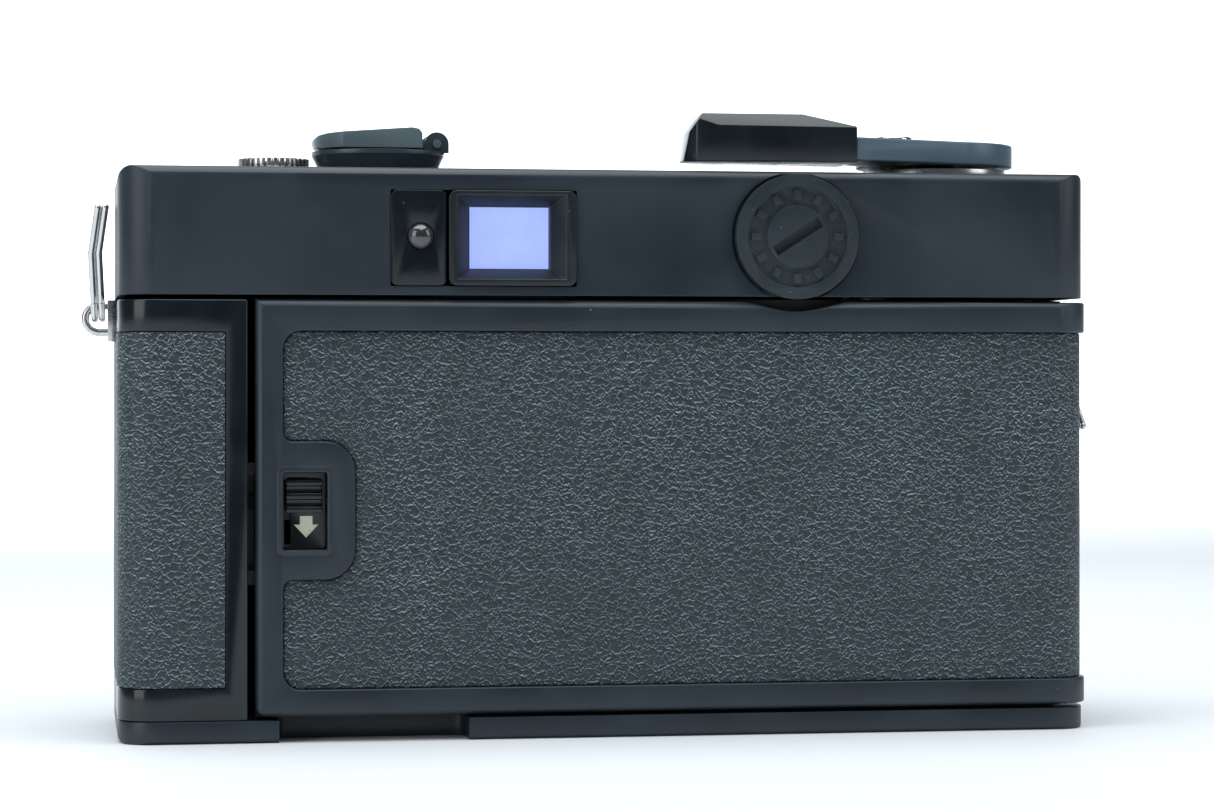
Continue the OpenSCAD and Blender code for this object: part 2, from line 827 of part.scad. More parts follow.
module counter_window() {
  color("#c8d0d8") rod_z(counter_at, 3.55, body_h - 0.95, body_h - 0.05);
}

// sleeve that carries the rewind shaft through the cover and slides up with it
module rewind_bush() {
  color("silver") ring_z(rewind_at, 3.0, 2.05, 52.4, 64.2);
}

crank_pin = [rewind_at[0] - knob_r + 1.1, body_h + 3.6];

module rewind_knob() {
  pocket = rewind_at + [4.3, 0];
  color("#1f2225") difference() {
    union() {
      translate([rewind_at[0], rewind_at[1], body_h + 0.4]) cylinder(h = 1.9, r1 = knob_r - 0.9, r2 = knob_r);
      rod_z(rewind_at, knob_r, body_h + 2.2, body_h + 2.7);
      rod_z(rewind_at, 2.0, 46.0, body_h + 1);
      rod_z(rewind_at, 2.9, 50.6, 52.2);
      // fork that turns the film spool
      block([rewind_at[0] - 1.9, rewind_at[1] - 0.6, 43.4], [rewind_at[0] + 1.9, rewind_at[1] + 0.6, 46.2]);
      // ears of the crank's hinge
      for (y = [-2.9, 2.1]) {
        rod_y(crank_pin, 1.4, rewind_at[1] + y, rewind_at[1] + y + 0.8);
        block([crank_pin[0] - 1.4, rewind_at[1] + y, body_h + 2.6],
              [crank_pin[0] + 1.4, rewind_at[1] + y + 0.8, crank_pin[1]]);
      }
    }
    rod_z(pocket, 2.6, body_h + 1.2, body_h + 10);
    rod_y(crank_pin, 0.55, -10, 10);
  }
}

module rewind_crank() {
  low = body_h + 2.95;
  heel = rewind_at[0] - 4.6;
  color("#1f2225") difference() {
    intersection() {
      upright(rewind_at[1] - 7.2, rewind_at[1] + 7.2) polygon([
        [rewind_at[0] + knob_r - 0.9, low], [rewind_at[0] + knob_r - 0.3, low + 0.18],
        [rewind_at[0] + knob_r, low + 0.7], [rewind_at[0] + knob_r - 0.15, low + 1.15],
        [rewind_at[0] + knob_r - 0.6, low + 1.5], [rewind_at[0] + knob_r - 1.4, low + 1.66], [heel + 1.2, low + 2.35],
        [heel + 0.4, low + 2.2], [heel, low + 1.7], [heel, low]]);
      translate([rewind_at[0], rewind_at[1], low - 1]) linear_extrude(6) intersection() {
        circle(knob_r);
        translate([-6, -6.2]) square([20, 12.4]);
      }
    }
    rod_z(rewind_at + [4.3, 0], 0.65, body_h, body_h + 9);
  }
  color("silver") difference() {
    union() {
      rod_y(crank_pin, 0.5, rewind_at[1] - 3.2, rewind_at[1] + 3.2);
      rod_y(crank_pin, 0.8, rewind_at[1] - 1.85, rewind_at[1] + 1.85);
      block([crank_pin[0], rewind_at[1] - 1.8, low + 0.15], [heel + 0.2, rewind_at[1] + 1.8, low + 1.15]);
    }
  }
}

module crank_knob() {
  at = rewind_at + [4.3, 0];
  color("#15171a") union() {
    rod_z(at, 2.3, body_h + 1.5, body_h + 2.85);
    rod_z(at, 0.6, body_h + 2.8, body_h + 4.1);
  }
}

module check_button() {
  color("silver") union() {
    rod_z(check_at, 3.6, body_h + 0.8, body_h + 1.85);
    rod_z(check_at, 3.5, 61.0, body_h + 0.9);
    for (i = [0 : 31])
      translate([check_at[0], check_at[1], body_h + 0.8]) rotate(i * 360 / 32)
        translate([3.5, -0.22, 0]) cube([0.6, 0.44, 1.0]);
    ring_z(check_at, 4.3, 3.4, 61.0, 61.6);
  }
}

module release_button() {
  color("silver") difference() {
    union() {
      rod_z(release_at, 2.3, 58, body_h + 6.1);
      rod_z(release_at, 3.2, 58, 59);
    }
    rod_z(release_at, 1.3, body_h + 2.6, body_h + 10);
  }
}

module lever_arm_plan() {
  circle_at = lever_at;
  difference() {
    union() {
      translate(circle_at) circle(lever_r);
      polygon([lever_at + [-1.5, 9.15], lever_at + [13.4, 15.0], [-18.5, 15.0], [-0.8, 14.2],
               [-1.6, 8.8], [-18.0, 6.6], lever_at + [8.9, 2.6], lever_at]);
    }
  }
}

module winding_lever() {
  z0 = body_h + 1.4;
  color("#20262c") difference() {
    union() {
      translate([0, 0, z0]) linear_extrude(2.7) intersection() {
        lever_arm_plan();
        translate([-60, -30]) square([60 - 19.2, 60]);
      }
      translate([0, 0, z0 + 0.5]) linear_extrude(1.0) intersection() {
        lever_arm_plan();
        translate([-19.3, -30]) square([17.5, 60]);
      }
      rod_z(lever_at, 2.5, 55.2, z0 + 0.1);
    }
    translate([lever_at[0], lever_at[1], z0 + 2.2]) difference() {
      cylinder(h = 2, r = 6.4);
      translate([0, 0, -1]) cylinder(h = 4, r = 5.9);
    }
  }
}

module lever_tip() {
  z0 = body_h + 1.15;
  color("#050506") difference() {
    intersection() {
      upright(4, 16) polygon([[0.7, z0], [0.1, z0 + 3.4], [-1.3, z0 + 5.5], [-13, z0 + 5.5], [-19.15, z0 + 4.1], [-19.15, z0]]);
      translate([0, 0, z0 - 1]) linear_extrude(9) polygon([
        [-19.15, 6.2], [-19.15, 15.4], [-3, 15.3], [-0.6, 14.7], [0.7, 13.2], [0.7, 10.4], [-0.6, 8.6], [-3, 7.8]]);
      // the face leans in towards its top edge
      translate([-25, 0, 0]) rotate([90, 0, 90]) linear_extrude(30) polygon([
        [5.5, z0 - 1], [15.4, z0 - 1], [15.4, z0 + 3.9], [14.2, z0 + 5.6], [7.4, z0 + 5.6], [5.5, z0 + 4]]);
    }
    translate([0, 0, body_h + 1.9]) linear_extrude(1.0) intersection() {
      lever_arm_plan();
      translate([-19.6, -30]) square([17.8, 60]);
    }
  }
}

module lever_gear() {
  color("#b9a36a") difference() {
    union() {
      translate([lever_at[0], lever_at[1], gear_high_z]) linear_extrude(gear_t)
        gear_outline(lever_teeth, bearing(lever_at, idler_at));
      rod_z(lever_at, 2.5, gear_high_z, 55.2);
    }
    rod_z(lever_at, 1.2, 50, 60);
  }
}

module idler_gear() {
  color("#b9a36a") union() {
    translate([idler_at[0], idler_at[1], gear_high_z - 0.2]) linear_extrude(gear_t + 0.4)
      gear_outline(pinion_teeth, bearing(idler_at, lever_at), gap = true);
    translate([idler_at[0], idler_at[1], gear_low_z]) linear_extrude(gear_t)
      gear_outline(idler_teeth, bearing(idler_at, lever_at));
    rod_z(idler_at, 0.95, 48.4, 57);
    rod_z(idler_at, 2.0, gear_low_z, gear_high_z);
  }
}

module sprocket() {
  wheel_r = 4.0;
  color("#8c8f94") union() {
    for (z = [9.4, 38.6]) rod_z(sprocket_at, wheel_r, z, z + 4);
    rod_z(sprocket_at, 3.0, 9.4, 42.6);
    rod_z(sprocket_at, 2.0, 3.6, gear_low_z + gear_t);
    for (z = [11.4, 40.6], i = [0 : 5])
      translate([sprocket_at[0], sprocket_at[1], z]) rotate(i * 60 + 30) translate([wheel_r - 0.7, 0, 0])
        rotate([0, 90, 0]) cylinder(h = 1.6, r1 = 0.9, r2 = 0.5, $fn = 24);
    translate([sprocket_at[0], sprocket_at[1], gear_low_z]) linear_extrude(gear_t)
      gear_outline(sprocket_teeth, bearing(sprocket_at, idler_at) + sprocket_phase());
  }
}

// the idler wheel's tooth nearest the sprocket sets how far the sprocket's wheel is turned to mesh
function sprocket_phase() =
  let (pitch = 360 / idler_teeth,
       off = (bearing(idler_at, sprocket_at) - bearing(idler_at, lever_at)) / pitch,
       part = off - floor(off))
  part * 360 / sprocket_teeth + 180 / sprocket_teeth;

module take_up_spool() {
  core_r = 4.8;
  color("#26282b") difference() {
    union() {
      rod_z(lever_at, core_r, 6.4, 46.6);
      for (z = [5.2, 46.4]) rod_z(lever_at, 7.4, z, z + 1.2);
      rod_z(lever_at, 2.0, 3.6, 5.3);
      rod_z(lever_at, 2.5, 47.5, gear_low_z + gear_t);
      translate([lever_at[0], lever_at[1], gear_low_z]) linear_extrude(gear_t)
        gear_outline(spool_teeth, bearing(lever_at, idler_at), gap = true);
    }
    // slots that grip the film's end
    for (i = [0 : 2]) translate([lever_at[0], lever_at[1], 0]) rotate(40 + i * 120)
      block([3.2, -0.6, 14], [9, 0.6, 39]);
  }
}

module counter_dial() {
  color("#e9e9e4") union() {
    rod_z(counter_at, 4.7, 61.2, 62.2);
    rod_z(counter_at, 0.9, 50, 61.3);
  }
}

chassis();
front_shell();
front_leather();
top_cover();
base_plate();
base_screws();
tripod_socket();
grip_frame();
grip_leather();
film_gate();
hinge_pin();
door_catch();
eyepiece_frame();
eyepiece_lens();
lamp_plate();
lamp_lens();
window_bezel();
front_windows();
finder_tunnel();
beam_splitter();
range_prism();
battery_tube();
battery_cells();
circuit_board();
strap_lugs();
sync_socket();
lens_barrel();
shutter_case();
shutter_blades();
front_element();
top_collars();
counter_window();
film_door();
door_leather();
latch_plate();
latch_slider();
latch_hook();
pressure_plate();
pressure_spring();
strap_ring_left();
strap_ring_right();
rewind_bush();
rewind_knob();
rewind_crank();
crank_knob();
check_button();
winding_lever();
lever_tip();
lever_gear();
idler_gear();
sprocket();
take_up_spool();
counter_dial();
release_button();
battery_gasket();
battery_cap();
focus_ring();
aperture_ring();
lens_cell();
self_timer_lever();
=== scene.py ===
"""Looks for a compact 35 mm rangefinder camera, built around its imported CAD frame.

Every visible CAD node gets a procedural finish. Nodes whose edges show are replaced by
pieces with the same shape and softened edges, and small trim is added as meshes of its own.
Sizes held by the sub-assemblies are in millimetres, and those of the studio in metres.
"""

import json
import logging
import math
from dataclasses import dataclass, field
from enum import Enum
from typing import Optional, Sequence, Union

import bmesh
import bpy
from mathutils import Matrix, Vector

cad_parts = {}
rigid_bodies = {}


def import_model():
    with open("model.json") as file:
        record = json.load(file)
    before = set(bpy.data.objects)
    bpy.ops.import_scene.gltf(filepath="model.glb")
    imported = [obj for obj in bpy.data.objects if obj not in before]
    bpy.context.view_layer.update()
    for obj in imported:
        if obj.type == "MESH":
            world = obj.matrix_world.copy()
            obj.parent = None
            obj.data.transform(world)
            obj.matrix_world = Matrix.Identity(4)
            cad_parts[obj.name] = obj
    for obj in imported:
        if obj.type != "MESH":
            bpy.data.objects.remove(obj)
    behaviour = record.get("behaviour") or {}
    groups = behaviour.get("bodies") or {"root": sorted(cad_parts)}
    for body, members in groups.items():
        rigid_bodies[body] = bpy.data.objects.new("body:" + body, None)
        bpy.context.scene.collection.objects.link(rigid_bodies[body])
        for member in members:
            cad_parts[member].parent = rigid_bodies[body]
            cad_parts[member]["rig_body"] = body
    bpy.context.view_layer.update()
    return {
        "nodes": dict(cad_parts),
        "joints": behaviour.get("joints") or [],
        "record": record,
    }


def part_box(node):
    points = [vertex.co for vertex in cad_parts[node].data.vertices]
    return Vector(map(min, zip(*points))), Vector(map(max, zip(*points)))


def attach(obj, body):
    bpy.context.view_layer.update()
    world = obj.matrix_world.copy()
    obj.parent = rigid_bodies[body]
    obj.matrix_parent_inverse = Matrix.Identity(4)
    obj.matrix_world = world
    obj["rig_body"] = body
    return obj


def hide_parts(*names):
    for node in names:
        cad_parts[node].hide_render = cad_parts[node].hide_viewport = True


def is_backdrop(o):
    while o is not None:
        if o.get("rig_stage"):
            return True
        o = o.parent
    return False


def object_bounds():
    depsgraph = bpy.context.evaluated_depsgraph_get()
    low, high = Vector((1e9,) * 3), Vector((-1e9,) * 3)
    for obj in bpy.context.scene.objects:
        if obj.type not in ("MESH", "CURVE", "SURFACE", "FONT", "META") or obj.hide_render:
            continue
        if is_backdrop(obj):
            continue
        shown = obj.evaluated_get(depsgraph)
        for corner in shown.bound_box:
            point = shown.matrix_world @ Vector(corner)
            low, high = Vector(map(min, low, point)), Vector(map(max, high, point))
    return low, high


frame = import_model()

LOG = logging.getLogger("camera")
MM = 0.001

Colour = tuple[float, float, float]
Value = Union["Sock", float]
Triple = tuple[float, float, float]
Profile = tuple[tuple[float, float], ...]


# ---------- shader graph ----------


class Sock:
    """A shader value that turns Python arithmetic into Math nodes."""

    def __init__(self, graph: "Graph", link: bpy.types.NodeSocket) -> None:
        """Wraps one output socket of a graph."""
        self.graph = graph
        self.link = link

    def _math(self, operation: str, *values: Value) -> "Sock":
        """Adds one Math node and returns its result."""
        return self.graph.add("ShaderNodeMath", {"operation": operation}, dict(enumerate(values)))

    def __add__(self, other: Value) -> "Sock":
        """Adds another value."""
        return self._math("ADD", self, other)

    def __radd__(self, other: Value) -> "Sock":
        """Adds this to a number."""
        return self._math("ADD", other, self)

    def __sub__(self, other: Value) -> "Sock":
        """Takes another value away."""
        return self._math("SUBTRACT", self, other)

    def __rsub__(self, other: Value) -> "Sock":
        """Takes this away from a number."""
        return self._math("SUBTRACT", other, self)

    def __mul__(self, other: Value) -> "Sock":
        """Multiplies by another value."""
        return self._math("MULTIPLY", self, other)

    def __rmul__(self, other: Value) -> "Sock":
        """Multiplies a number by this."""
        return self._math("MULTIPLY", other, self)

    def below(self, limit: Value) -> "Sock":
        """Is one where this is under a limit, and nought elsewhere."""
        return self._math("LESS_THAN", self, limit)

    def ramp(self, low: float, high: float, out_low: float = 0.0, out_high: float = 1.0) -> "Sock":
        """Maps a range of this to another range, smoothly and without overshoot.

        Args:
            low: Where the change starts.
            high: Where the change ends.
            out_low: The result at and below low.
            out_high: The result at and above high.

        Returns:
            The mapped value.
        """
        return self.graph.add(
            "ShaderNodeMapRange",
            {"interpolation_type": "SMOOTHSTEP", "clamp": True},
            {"Value": self, "From Min": low, "From Max": high, "To Min": out_low, "To Max": out_high},
        )


class Graph:
    """The node tree of one material, with a Principled shader at its end."""

    WARP_SCALE = 1.3
    WARP_DETAIL = 3.0

    def __init__(self, name: str) -> None:
        """Starts an empty material with an output and a Principled shader."""
        self.material = bpy.data.materials.new(name)
        self.material.use_nodes = True
        self.tree = self.material.node_tree
        self.tree.nodes.clear()
        output = self.tree.nodes.new("ShaderNodeOutputMaterial")
        self.shader = self.tree.nodes.new("ShaderNodeBsdfPrincipled")
        self.tree.links.new(self.shader.outputs[0], output.inputs["Surface"])
        self.place = self.add("ShaderNodeTexCoord", {}, {}, "Object")

    def add(self, kind: str, settings: dict, inputs: dict, output: Union[str, int] = 0) -> Sock:
        """Adds any node.

        Args:
            kind: The node's Blender type.
            settings: The node's own settings, set before its sockets.
            inputs: Socket name or number to a value or a Sock.
            output: The name or number of the output that is wanted.

        Returns:
            That output, wrapped.
        """
        node = self.tree.nodes.new(kind)
        for key, value in settings.items():
            setattr(node, key, value)
        for key, value in inputs.items():
            if isinstance(value, Sock):
                self.tree.links.new(value.link, node.inputs[key])
            else:
                node.inputs[key].default_value = value
        return Sock(self, node.outputs[output])

    def stretched(self, scale: Sequence[float], lift: float = 0.0) -> Sock:
        """Object coordinates in millimetres, stretched along each axis.

        Args:
            scale: How many pattern units a millimetre has, along each axis.
            lift: How many millimetres higher the pattern is read.

        Returns:
            The place in the pattern.
        """
        return self.add(
            "ShaderNodeMapping",
            {"vector_type": "POINT"},
            {"Vector": self.place, "Scale": [s / MM for s in scale], "Location": (0.0, 0.0, lift * scale[2])},
        )

    def noise(self, size: float, detail: float = 3.0, roughness: float = 0.55,
              stretch: Sequence[float] = (1.0, 1.0, 1.0), lift: float = 0.0) -> Sock:
        """Cloudy noise.

        Args:
            size: Width of its features in millimetres.
            detail: How many finer layers it has.
            roughness: How strong the finer layers are.
            stretch: How much finer it is along each axis.
            lift: How many millimetres higher it is read.

        Returns:
            A value from about 0 to 1.
        """
        place = self.stretched([k / size for k in stretch], lift)
        return self.add("ShaderNodeTexNoise", {"noise_dimensions": "3D"},
                        {"Vector": place, "Scale": 1.0, "Detail": detail, "Roughness": roughness}, "Fac")

    def cells(self, size: float, feature: str = "F1", warp: float = 0.0, output: str = "Distance",
              flat: float = 1.0, lift: float = 0.0) -> Sock:
        """A pattern of irregular cells.

        Args:
            size: Width of a cell in millimetres.
            feature: Which distance the pattern measures.
            warp: How far the cells are bent out of shape, in cell widths.
            output: Which output of the pattern is wanted.
            flat: How many times wider than tall a cell is.
            lift: How many millimetres higher the pattern is read.

        Returns:
            The distance or the cell's own colour.
        """
        place = self.stretched((1.0 / size, 1.0 / size, flat / size), lift)
        if warp:
            bend = self.add("ShaderNodeTexNoise", {"noise_dimensions": "3D"},
                            {"Vector": place, "Scale": self.WARP_SCALE, "Detail": self.WARP_DETAIL}, "Color")
            push = self.add("ShaderNodeVectorMath", {"operation": "SCALE"}, {0: bend, "Scale": warp})
            place = self.add("ShaderNodeVectorMath", {"operation": "ADD"}, {0: place, 1: push})
        return self.add("ShaderNodeTexVoronoi", {"feature": feature}, {"Vector": place, "Scale": 1.0}, output)

    def specks(self, spacing: float, radius: float, share: float) -> Sock:
        """Scattered grains of dust.

        Args:
            spacing: Mean distance between possible grains in millimetres.
            radius: A grain's radius as a part of the spacing.
            share: The part of the places that holds a grain.

        Returns:
            A mask that is one on a grain.
        """
        near = self.cells(spacing).below(radius)
        pick = self.add("ShaderNodeSeparateColor", {}, {"Color": self.cells(spacing, output="Color")}, "Red")
        return near * pick.below(share)

    def blend(self, low: Union[Sock, Colour], high: Union[Sock, Colour], share: Value) -> Sock:
        """Mixes two colours."""
        low_value = low if isinstance(low, Sock) else (*low, 1.0)
        high_value = high if isinstance(high, Sock) else (*high, 1.0)
        return self.add("ShaderNodeMix", {"data_type": "RGBA"}, {0: share, 6: low_value, 7: high_value}, 2)

    def bump(self, height: Sock, depth: float) -> Sock:
        """Turns a height into a surface normal, with its full depth in millimetres."""
        return self.add("ShaderNodeBump", {}, {"Height": height, "Distance": depth * MM, "Strength": 1.0})

    def finish(self, **inputs: Union[Sock, float, Sequence[float]]) -> bpy.types.Material:
        """Sets the shader's sockets by name, with underscores for spaces.

        Args:
            inputs: Socket name to a constant or a Sock.

        Returns:
            The finished material.
        """
        for key, value in inputs.items():
            socket = self.shader.inputs[key.replace("_", " ")]
            if isinstance(value, Sock):
                self.tree.links.new(value.link, socket)
            elif socket.type == "RGBA" and len(value) == 3:
                socket.default_value = (*value, 1.0)
            else:
                socket.default_value = value
        return self.material


# ---------- finishes ----------


@dataclass(frozen=True)
class SatinPaint:
    """Baked satin enamel with a faint orange peel and a little dust."""

    name: str
    colour: Colour
    roughness: float = 0.38
    peel_size: float = 0.55
    peel_depth: float = 0.006
    dust: float = 0.05
    dust_colour: Colour = (0.34, 0.35, 0.34)
    metallic: float = 0.0

    def build(self) -> bpy.types.Material:
        """Makes the material."""
        g = Graph(self.name)
        patch = g.noise(14.0, 3.0)
        fine = g.noise(self.peel_size, 3.0)
        grit = g.noise(0.12, 2.0)
        grains = g.specks(1.7, 0.055, self.dust)
        lighter = tuple(min(1.0, c * 1.35 + 0.004) for c in self.colour)
        base = g.blend(self.colour, lighter, patch.ramp(0.35, 0.7))
        base = g.blend(base, self.dust_colour, grains * 0.75)
        rough = patch.ramp(0.3, 0.7, self.roughness - 0.04, self.roughness + 0.05)
        rough = rough + grit.ramp(0.3, 0.7, -0.03, 0.03) + grains * 0.3
        height = fine * 0.7 + grit * 0.3 + grains * 0.8
        return g.finish(Base_Color=base, Roughness=rough, Metallic=self.metallic,
                        Normal=g.bump(height, self.peel_depth), IOR=1.5)


@dataclass(frozen=True)
class Leatherette:
    """Embossed black covering: low cushions with thin, winding, broken ridges between them, with a painted
    highlight on each ridge's upward-facing flank and painted shade on its downward-facing flank.

    Attributes:
        name: The finish's name.
        colour: The cushions' colour.
        lit: Painted highlight: the colour laid on a ridge's upward-facing flank, where light from above
            falls.
        shade: Painted shade: the colour laid on a ridge's downward-facing flank.
        pebble: Width of a cushion in millimetres.
        depth: Full depth of the embossing in millimetres.
        fall: How far apart, in millimetres, the two heights are that tell a ridge's flanks apart.
        dust_colour: The colour of the dust on it.
    """

    name: str
    colour: Colour
    lit: Colour
    shade: Colour
    pebble: float = 1.2
    depth: float = 0.26
    fall: float = 0.17
    dust_colour: Colour = (0.22, 0.23, 0.22)

    def ridges(self, g: Graph, lift: float) -> Sock:
        """The ridges' height, from nought to one.

        Args:
            g: The graph.
            lift: How many millimetres higher the pattern is read.

        Returns:
            The height.
        """
        edge = g.cells(self.pebble, "DISTANCE_TO_EDGE", warp=1.5, flat=1.35, lift=lift)
        small = g.cells(self.pebble * 0.52, "DISTANCE_TO_EDGE", warp=1.3, flat=1.2, lift=lift)
        gap = g.noise(self.pebble * 0.62, 2.0, lift=lift)
        ridge = edge.ramp(0.0, 0.105, 1.0, 0.0) * gap.ramp(0.45, 0.53)
        minor = small.ramp(0.0, 0.15, 1.0, 0.0) * gap.ramp(0.52, 0.42)
        return ridge + minor * 0.75

    def build(self) -> bpy.types.Material:
        """Makes the material."""
        g = Graph(self.name)
        here = self.ridges(g, 0.0)
        above = self.ridges(g, self.fall)
        fine = g.noise(0.16, 3.0)
        # Large noise that fades the painted highlight in patches.
        mottle = g.noise(9.0, 3.0)
        patch = g.noise(0.8, 3.0)
        # The first mask below is each ridge's upward-facing flank, for a painted highlight; the second is its
        # downward-facing flank, for painted shade.
        rim = (here - above).ramp(0.10, 0.80)
        shaded_flank = (above - here).ramp(0.10, 0.80)
        base = g.blend(self.colour, tuple(c * 1.35 for c in self.colour), patch.ramp(0.35, 0.65))
        # Painted shade on the downward-facing flanks, then a painted highlight on the upward-facing ones,
        # faded in large random patches.
        base = g.blend(base, self.shade, shaded_flank * 0.9)
        base = g.blend(base, self.lit, rim * mottle.ramp(0.25, 0.75, 0.65, 1.0))
        grains = g.specks(1.3, 0.07, 0.05)
        base = g.blend(base, self.dust_colour, grains * 0.5)
        rough = rim.ramp(0.1, 0.9, 0.52, 0.34) + fine.ramp(0.3, 0.7, -0.05, 0.06)
        height = here * 0.6 + patch * 0.25 + fine * 0.08
        return g.finish(Base_Color=base, Roughness=rough, Normal=g.bump(height, self.depth), IOR=1.5)


@dataclass(frozen=True)
class Moulding:
    """Moulded plastic, from glossy to matt, with smudges and dust."""

    name: str
    colour: Colour
    roughness: float = 0.14
    texture_size: float = 0.3
    texture_depth: float = 0.0015
    dust: float = 0.12
    dust_colour: Colour = (0.33, 0.34, 0.33)

    def build(self) -> bpy.types.Material:
        """Makes the material."""
        g = Graph(self.name)
        smudge = g.noise(5.5, 4.0, 0.6)
        fine = g.noise(self.texture_size, 3.0)
        grains = g.specks(1.1, 0.06, self.dust)
        lint = g.noise(1.6, 3.0).ramp(0.60, 0.78) * 0.5
        lighter = tuple(min(1.0, c * 1.3 + 0.003) for c in self.colour)
        base = g.blend(self.colour, lighter, smudge.ramp(0.35, 0.7))
        base = g.blend(base, self.dust_colour, grains * 0.7)
        rough = smudge.ramp(0.35, 0.72, self.roughness, self.roughness + 0.09) + grains * 0.4 + lint * 0.05
        return g.finish(Base_Color=base, Roughness=rough,
                        Normal=g.bump(fine + grains * 0.5, self.texture_depth), IOR=1.5)


@dataclass(frozen=True)
class Metal:
    """Bare or anodised metal with fine tool marks and slightly cloudy reflections."""

    name: str
    colour: Colour
    roughness: float = 0.25
    marks: Triple = (1.0, 1.0, 9.0)
    mark_size: float = 0.35
    mark_depth: float = 0.002
    metallic: float = 1.0

    def build(self) -> bpy.types.Material:
        """Makes the material."""
        g = Graph(self.name)
        lines = g.noise(self.mark_size, 3.0, 0.6, self.marks)
        cloud = g.noise(3.0, 3.0)
        darker = tuple(c * 0.72 for c in self.colour)
        grime = g.noise(1.1, 4.0).ramp(0.58, 0.80) * 0.5
        base = g.blend(self.colour, darker, cloud.ramp(0.35, 0.75) * 0.5 + grime)
        rough = lines.ramp(0.3, 0.7, self.roughness - 0.05, self.roughness + 0.08) + grime * 0.3
        return g.finish(Base_Color=base, Roughness=rough, Metallic=self.metallic,
                        Normal=g.bump(lines, self.mark_depth))


@dataclass(frozen=True)
class CoatedGlass:
    """Glass whose colour stands for its coating's tint over a dark or a bright inside, with dust; for the
    finder this colour and the emission are painted light, the bright backdrop seen through the eyepiece.
    """

    name: str
    body: Colour
    rim: Colour
    glow: Colour = (0.0, 0.0, 0.0)
    glow_strength: float = 0.0
    alpha: float = 1.0
    roughness: float = 0.04
    dust_colour: Colour = (0.12, 0.12, 0.13)

    def build(self) -> bpy.types.Material:
        """Makes the material."""
        g = Graph(self.name)
        cloud = g.noise(3.5, 3.0)
        grains = g.specks(0.9, 0.07, 0.16)
        base = g.blend(self.body, self.rim, cloud.ramp(0.35, 0.7))
        base = g.blend(base, self.dust_colour, grains * 0.6)
        rough = cloud.ramp(0.3, 0.7, self.roughness, self.roughness + 0.05) + grains * 0.3
        # The emission is a painted glow, not a lamp: on the finder it stands in for the backdrop's light seen
        # through the glass.
        return g.finish(Base_Color=base, Roughness=rough, Alpha=self.alpha, IOR=1.7, Coat_Weight=0.5,
                        Coat_Roughness=0.03, Emission_Color=(*self.glow, 1.0),
                        Emission_Strength=self.glow_strength)


@dataclass(frozen=True)
class Lacquer:
    """A thin printed or painted mark."""

    name: str
    colour: Colour

    def build(self) -> bpy.types.Material:
        """Makes the material."""
        g = Graph(self.name)
        # Wear of the mark: darker, rougher patches.
        mottle = g.noise(0.4, 4.0)
        dark = tuple(c * 0.66 for c in self.colour)
        base = g.blend(self.colour, dark, mottle.ramp(0.5, 0.75))
        return g.finish(Base_Color=base, Roughness=mottle.ramp(0.3, 0.7, 0.4, 0.6),
                        Normal=g.bump(mottle, 0.002))


